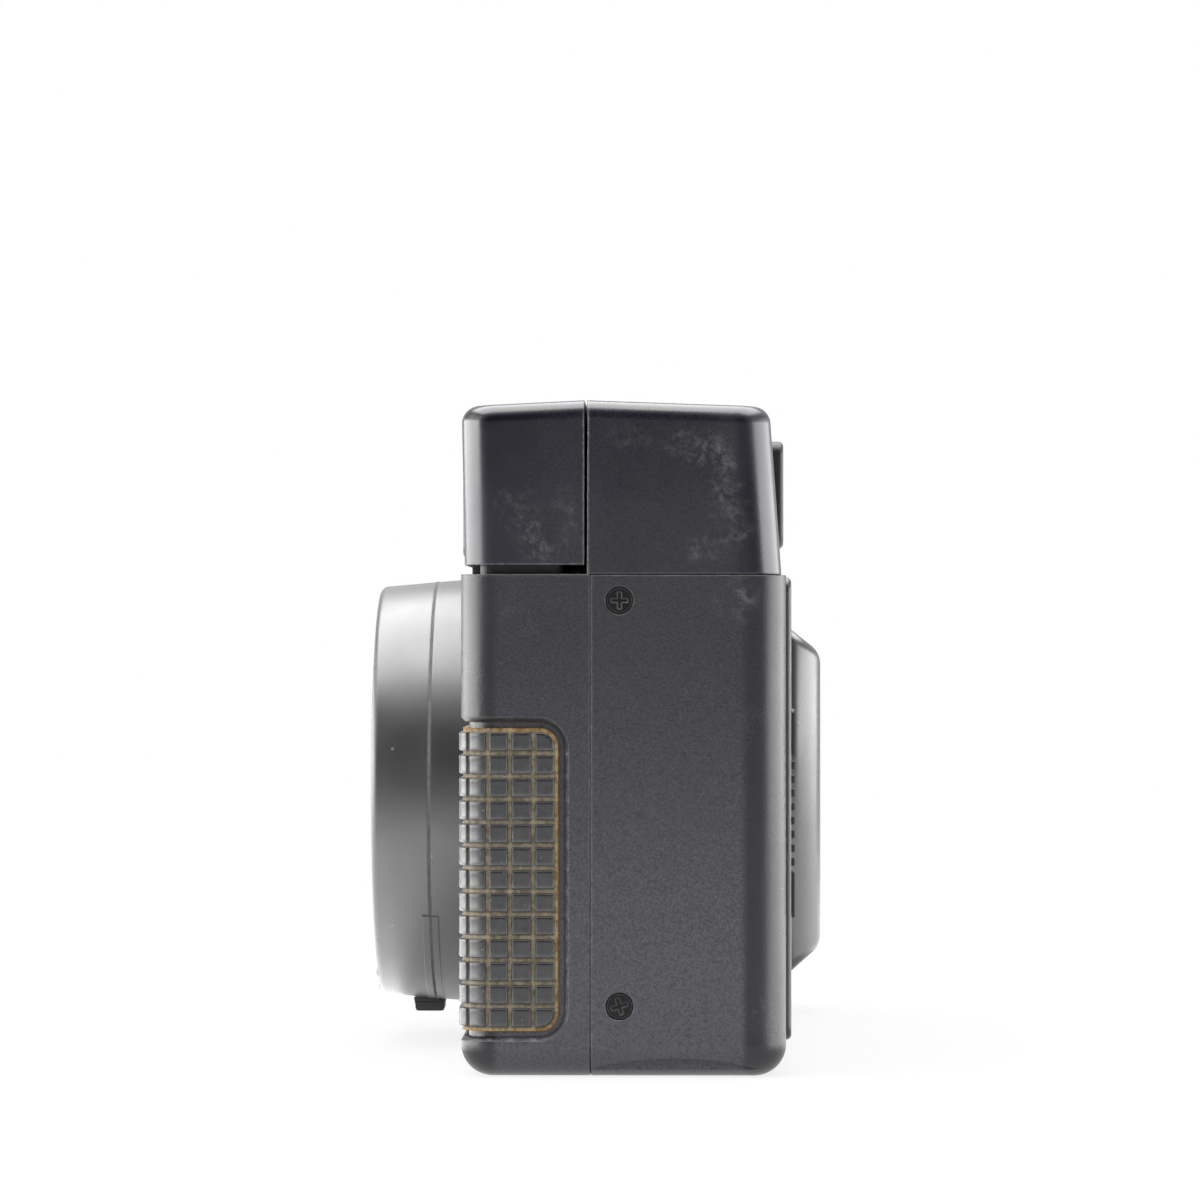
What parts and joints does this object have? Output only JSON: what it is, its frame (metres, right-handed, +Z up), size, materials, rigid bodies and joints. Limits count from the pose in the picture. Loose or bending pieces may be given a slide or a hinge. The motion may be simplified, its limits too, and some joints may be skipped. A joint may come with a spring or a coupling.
{
  "type": "film camera",
  "caption": "Compact 35 mm film camera with a pop-up flash, autofocus lens barrel, grid rubber grip and hinged back door.",
  "frame": {"origin": "centre of the mouth of the tripod socket, in the plane of the base", "axes": "+Z up; the lens looks along -Y; +X is the end with the pop-up flash, the user's left; +Y is the back with the door and eyepiece"},
  "size_m": [0.1284, 0.0532, 0.0743],
  "materials": {
    "body_plastic": "fine matte grain, near black with a blue tint",
    "cover_plastic": "smooth semi-gloss, near black with a blue tint",
    "rubber": "moulded rubber with a fine grid",
    "black_trim": "satin black",
    "barrel_metal": "satin black",
    "black_steel": "blackened steel",
    "bright_steel": "plated",
    "brass": "turned",
    "lens_glass": "coated",
    "window_glass": "smoked",
    "flash_plastic": "ribbed clear plastic",
    "reflector": "bright",
    "foam": "black foam",
    "electronics": "board green"
  },
  "bodies": {
    "camera_body": {"main_body": "body_plastic", "front_shell": "body_plastic", "top_cover": "cover_plastic", "base_plate": "body_plastic", "grip_pad_left": "rubber", "hand_grip": "rubber", "hinge_pin": "bright_steel", "film_gate": "black_steel", "light_seals": "foam", "barrel_base": "barrel_metal", "barrel_front_ring": "barrel_metal", "lens_bezel": "black_trim", "light_cell_window": "window_glass", "shutter_housing": "black_trim", "blade_pins": "black_steel", "window_panel": "black_trim", "viewfinder_window": "window_glass", "focus_windows": "window_glass", "viewfinder_tube": "black_trim", "eyepiece_frame": "black_trim", "eyepiece_glass": "window_glass", "counter_window": "window_glass", "tripod_socket": "brass", "battery_contacts": "bright_steel", "strap_lug": "bright_steel", "side_screws": "black_steel", "base_screws": "black_steel", "drive_motor": "bright_steel", "flash_capacitor": "electronics", "circuit_board": "electronics"},
    "back_door": {"back_door": "body_plastic", "thumb_rest": "rubber", "pressure_springs": "bright_steel"},
    "door_latch": {"door_latch": "body_plastic"},
    "pressure_plate": {"pressure_plate": "black_steel"},
    "take_up_spool": {"take_up_spool": "black_trim"},
    "sprocket": {"sprocket": "black_trim"},
    "rewind_fork": {"rewind_fork": "black_trim"},
    "counter_dial": {"counter_dial": "black_trim"},
    "film_speed_ring": {"film_speed_ring": "black_trim"},
    "lens_cell": {"lens_cell": "barrel_metal", "front_lens": "lens_glass", "rear_lens": "lens_glass"},
    "shutter_blade_a": {"shutter_blade_a": "black_steel"},
    "shutter_blade_b": {"shutter_blade_b": "black_steel"},
    "flash_unit": {"flash_housing": "cover_plastic", "flash_core": "black_trim", "flash_lens": "flash_plastic", "flash_reflector": "reflector", "flash_tube": "window_glass"},
    "flash_release": {"flash_release": "black_trim"},
    "shutter_button": {"shutter_button": "black_trim"},
    "self_timer_lever": {"self_timer_lever": "black_trim"},
    "rewind_switch": {"rewind_switch": "black_trim"},
    "battery_door": {"battery_door": "body_plastic"}
  },
  "joints": [
    {"name": "back_door_hinge", "type": "hinge", "parent": "camera_body", "child": "back_door", "pos_m": [-0.0594, 0.0182, 0.029], "axis": [0, 0, 1], "range_deg": [0, 105]},
    {"name": "door_latch_slide", "type": "slide", "parent": "back_door", "child": "door_latch", "axis": [0, 0, -1], "range_m": [0, 0.003], "stiffness_N_per_m": 100},
    {"name": "pressure_plate_press", "type": "slide", "parent": "back_door", "child": "pressure_plate", "axis": [0, 1, 0], "range_m": [0, 0.0002], "stiffness_N_per_m": 400, "deforming": ["pressure_springs"]},
    {"name": "take_up_spin", "type": "hinge", "parent": "camera_body", "child": "take_up_spool", "pos_m": [-0.0344, 0.004, 0.0293], "axis": [0, 0, 1], "continuous": true},
    {"name": "sprocket_spin", "type": "hinge", "parent": "camera_body", "child": "sprocket", "pos_m": [-0.024, 0.0109, 0.0293], "axis": [0, 0, 1], "continuous": true},
    {"name": "rewind_fork_spin", "type": "hinge", "parent": "camera_body", "child": "rewind_fork", "pos_m": [0.0335, 0.0052, 0.05], "axis": [0, 0, 1], "continuous": true},
    {"name": "frame_counter_spin", "type": "hinge", "parent": "camera_body", "child": "counter_dial", "pos_m": [-0.029, 0.0015, 0.06], "axis": [0, 0, 1], "continuous": true},
    {"name": "film_speed_turn", "type": "hinge", "parent": "camera_body", "child": "film_speed_ring", "pos_m": [0, -0.0199, 0.0293], "axis": [0, 1, 0], "range_deg": [-25, 25]},
    {"name": "lens_focus", "type": "slide", "parent": "camera_body", "child": "lens_cell", "axis": [0, -1, 0], "range_m": [0, 0.0015]},
    {"name": "shutter_blade_a_swing", "type": "hinge", "parent": "camera_body", "child": "shutter_blade_a", "pos_m": [0.004, -0.0062, 0.0188], "axis": [0, 1, 0], "range_deg": [0, 40]},
    {"name": "shutter_blade_b_swing", "type": "hinge", "parent": "camera_body", "child": "shutter_blade_b", "pos_m": [-0.004, -0.0058, 0.0188], "axis": [0, 1, 0], "range_deg": [-40, 0]},
    {"name": "flash_pop_up", "type": "slide", "parent": "camera_body", "child": "flash_unit", "axis": [0, 0, 1], "range_m": [0, 0.012]},
    {"name": "flash_release_press", "type": "slide", "parent": "camera_body", "child": "flash_release", "axis": [0, 1, 0], "range_m": [0, 0.0008], "stiffness_N_per_m": 300},
    {"name": "shutter_press", "type": "slide", "parent": "camera_body", "child": "shutter_button", "axis": [0, 0, -1], "range_m": [0, 0.0015], "stiffness_N_per_m": 400},
    {"name": "self_timer_turn", "type": "hinge", "parent": "camera_body", "child": "self_timer_lever", "pos_m": [-0.0324, -0.016, 0.0462], "axis": [0, -1, 0], "range_deg": [0, 80]},
    {"name": "rewind_switch_slide", "type": "slide", "parent": "camera_body", "child": "rewind_switch", "axis": [1, 0, 0], "range_m": [0, 0.004]},
    {"name": "battery_door_hinge", "type": "hinge", "parent": "camera_body", "child": "battery_door", "pos_m": [-0.0522, 0.0154, 0.0011], "axis": [1, 0, 0], "range_deg": [0, 100]}
  ],
  "couplings": [
    {"joint": "sprocket_spin", "follows": "take_up_spin", "ratio": 0.94},
    {"joint": "rewind_fork_spin", "follows": "take_up_spin", "ratio": 0.57},
    {"joint": "frame_counter_spin", "follows": "take_up_spin", "ratio": 0.0236},
    {"joint": "shutter_blade_b_swing", "follows": "shutter_blade_a_swing", "ratio": -1}
  ]
}
